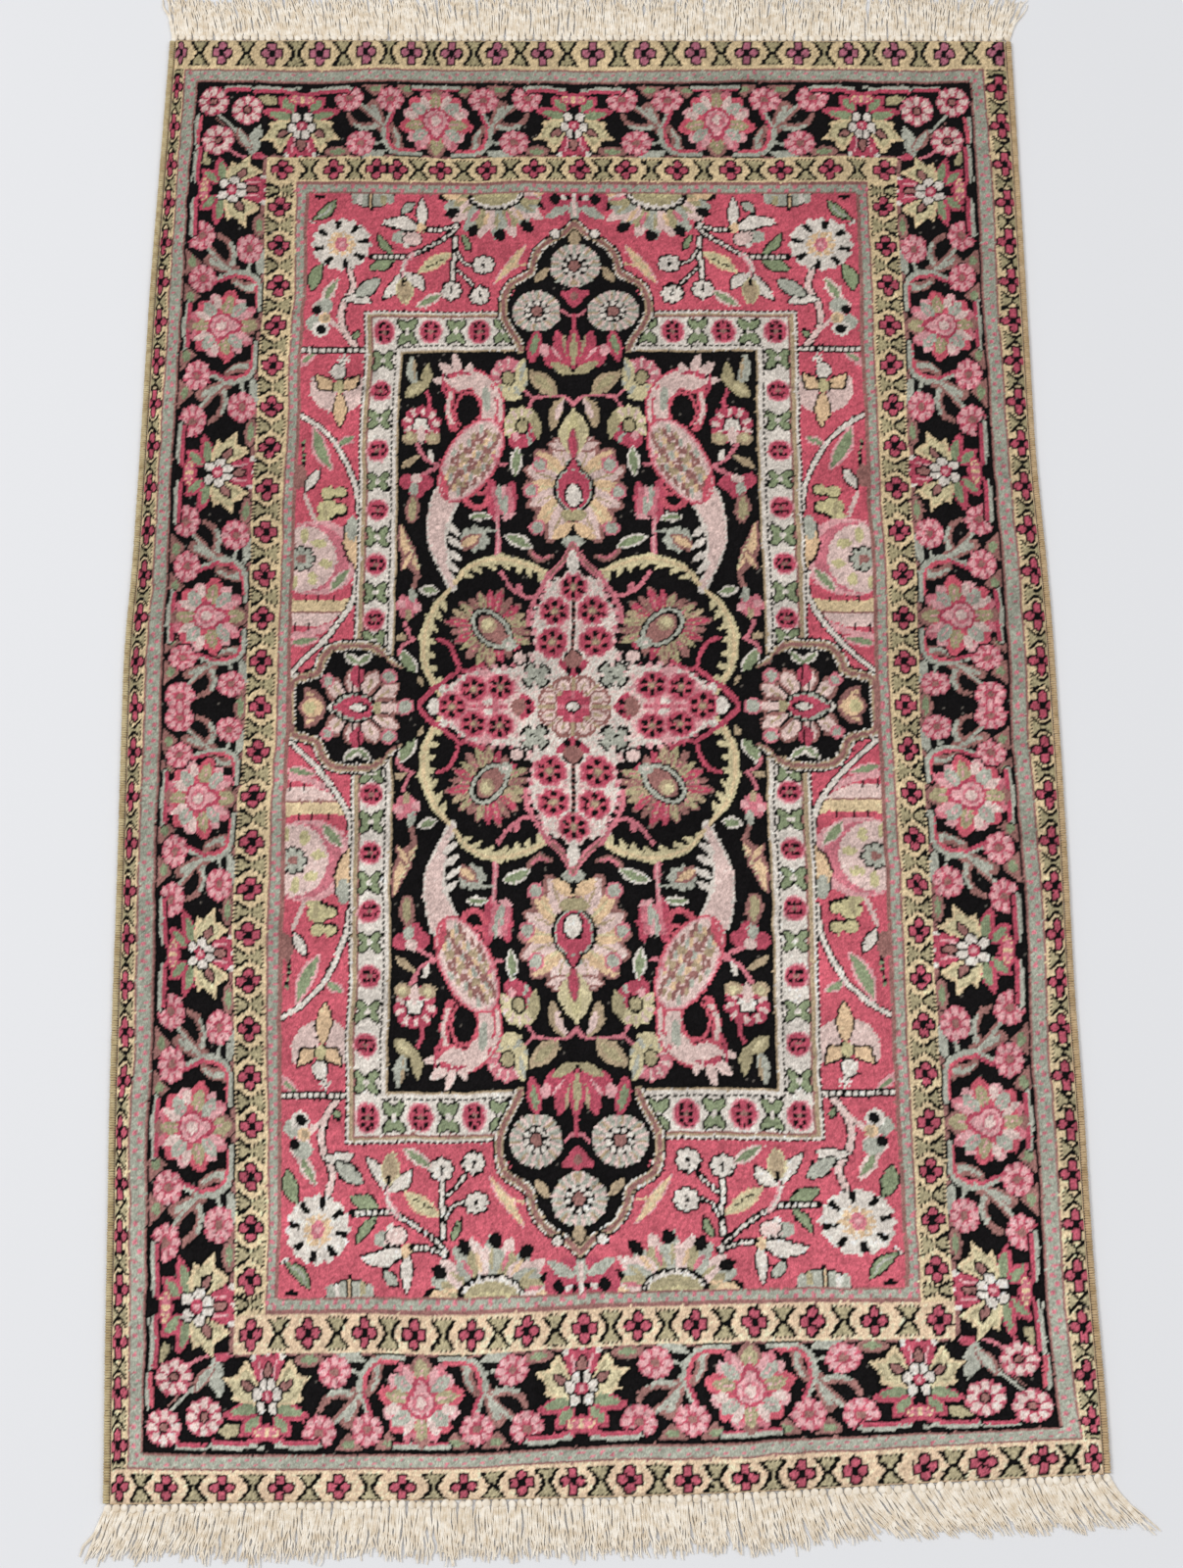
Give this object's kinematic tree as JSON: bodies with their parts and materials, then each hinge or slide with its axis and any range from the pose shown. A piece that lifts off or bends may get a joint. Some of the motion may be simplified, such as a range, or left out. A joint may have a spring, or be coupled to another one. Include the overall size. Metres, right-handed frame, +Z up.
{
  "type": "kayseri rug",
  "caption": "Flat knotted-pile rug, floral borders round a red field with a centre medallion, overcast sides and a knotted cotton fringe at each end.",
  "frame": {"origin": "on the flat underside, at the middle of the rug's nominal rectangle", "axes": "+X across the rug, +Y along it towards the far fringe, +Z up out of the pile"},
  "size_m": [0.9646, 1.6408, 0.0067],
  "materials": {
    "wool_pile": "short dense wool pile, rose field, black main border, cream guards",
    "overcast_khaki": "cotton overcasting, khaki, close wraps",
    "overcast_tan": "cotton overcasting, tan, close wraps",
    "warp_cotton": "undyed cotton warp threads, ivory with a tan shade"
  },
  "bodies": {
    "root": {"knotted_body": "wool_pile", "selvedge_left": "overcast_khaki", "selvedge_right": "overcast_tan", "fringe_far": "warp_cotton", "fringe_near": "warp_cotton"}
  },
  "joints": []
}
